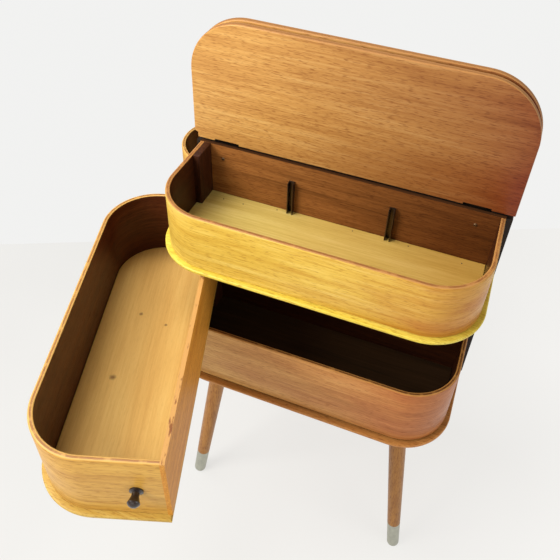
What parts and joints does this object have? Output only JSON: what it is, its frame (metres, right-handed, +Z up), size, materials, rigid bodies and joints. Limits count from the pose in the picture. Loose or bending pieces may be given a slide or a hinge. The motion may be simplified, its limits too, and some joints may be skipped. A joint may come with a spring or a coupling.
{
  "type": "sewing box",
  "caption": "Free-standing wooden sewing box on splayed legs, with hinged lids over bent-ply trays and swivelling drawers either side of a spine board.",
  "frame": {"origin": "on the floor, under the middle of the spine board", "axes": "+Z up; +X along the spine board to the right, away from the drawers' pivots; -Y to the front half, +Y to the rear half"},
  "size_m": [0.5127, 0.8618, 0.8111],
  "materials": {
    "tray_wood": "satin",
    "tray_inside": "satin",
    "lip_wood": "satin",
    "lining": "matte",
    "plinth": "matte",
    "lid_wood": "satin",
    "spine_wood": "satin",
    "leg_wood": "satin",
    "ferrule_metal": "satin",
    "hinge_metal": "satin",
    "channel_metal": "satin",
    "rod_steel": "satin",
    "screw_metal": "satin",
    "knob_wood": "gloss"
  },
  "bodies": {
    "carcass": {"spine_board": "spine_wood", "base_board": "lip_wood", "front_bottom_tray_wall": "tray_wood", "front_bottom_tray_back": "tray_inside", "front_bottom_tray_lining": "lining", "front_bottom_tray_pivot_post": "tray_inside", "front_plinth": "plinth", "front_tray_screws": "screw_metal", "front_top_tray_wall": "tray_wood", "front_top_tray_back": "tray_inside", "front_top_tray_base": "lip_wood", "front_top_tray_lining": "lining", "front_divider_channels": "channel_metal", "front_pivot_rod": "rod_steel", "front_pivot_washers": "rod_steel", "front_spine_hinge_leaves": "hinge_metal", "front_hinge_pins": "hinge_metal", "front_leg_bolts": "rod_steel", "front_left_leg": "leg_wood", "front_right_leg": "leg_wood", "front_left_ferrule": "ferrule_metal", "front_right_ferrule": "ferrule_metal", "rear_bottom_tray_wall": "tray_wood", "rear_bottom_tray_back": "tray_inside", "rear_bottom_tray_lining": "lining", "rear_bottom_tray_pivot_post": "tray_inside", "rear_plinth": "plinth", "rear_tray_screws": "screw_metal", "rear_top_tray_wall": "tray_wood", "rear_top_tray_back": "tray_inside", "rear_top_tray_base": "lip_wood", "rear_top_tray_lining": "lining", "rear_divider_channels": "channel_metal", "rear_pivot_rod": "rod_steel", "rear_pivot_washers": "rod_steel", "rear_spine_hinge_leaves": "hinge_metal", "rear_hinge_pins": "hinge_metal", "rear_leg_bolts": "rod_steel", "rear_left_leg": "leg_wood", "rear_right_leg": "leg_wood", "rear_left_ferrule": "ferrule_metal", "rear_right_ferrule": "ferrule_metal"},
    "front_drawer": {"front_drawer_wall": "tray_wood", "front_drawer_back": "tray_inside", "front_drawer_base": "lip_wood", "front_drawer_lining": "lining", "front_drawer_pivot_block": "tray_inside", "front_drawer_knob": "knob_wood"},
    "rear_drawer": {"rear_drawer_wall": "tray_wood", "rear_drawer_back": "tray_inside", "rear_drawer_base": "lip_wood", "rear_drawer_lining": "lining", "rear_drawer_pivot_block": "tray_inside", "rear_drawer_knob": "knob_wood"},
    "front_lid": {"front_lid": "lid_wood", "front_lid_hinge_leaves": "hinge_metal"},
    "rear_lid": {"rear_lid": "lid_wood", "rear_lid_hinge_leaves": "hinge_metal"}
  },
  "joints": [
    {"name": "front_lid_hinge", "type": "hinge", "parent": "carcass", "child": "front_lid", "pos_m": [0, -0.0052, 0.6468], "axis": [1, 0, 0], "range_deg": [-0.8, 90]},
    {"name": "rear_lid_hinge", "type": "hinge", "parent": "carcass", "child": "rear_lid", "pos_m": [0, 0.0052, 0.6468], "axis": [-1, 0, 0], "range_deg": [-0.8, 90]},
    {"name": "front_drawer_swivel", "type": "hinge", "parent": "carcass", "child": "front_drawer", "pos_m": [-0.19, -0.033, 0.5], "axis": [0, 0, 1], "range_deg": [-18, 72]},
    {"name": "rear_drawer_swivel", "type": "hinge", "parent": "carcass", "child": "rear_drawer", "pos_m": [-0.19, 0.033, 0.5], "axis": [0, 0, -1], "range_deg": [-21.5, 68.5]}
  ]
}
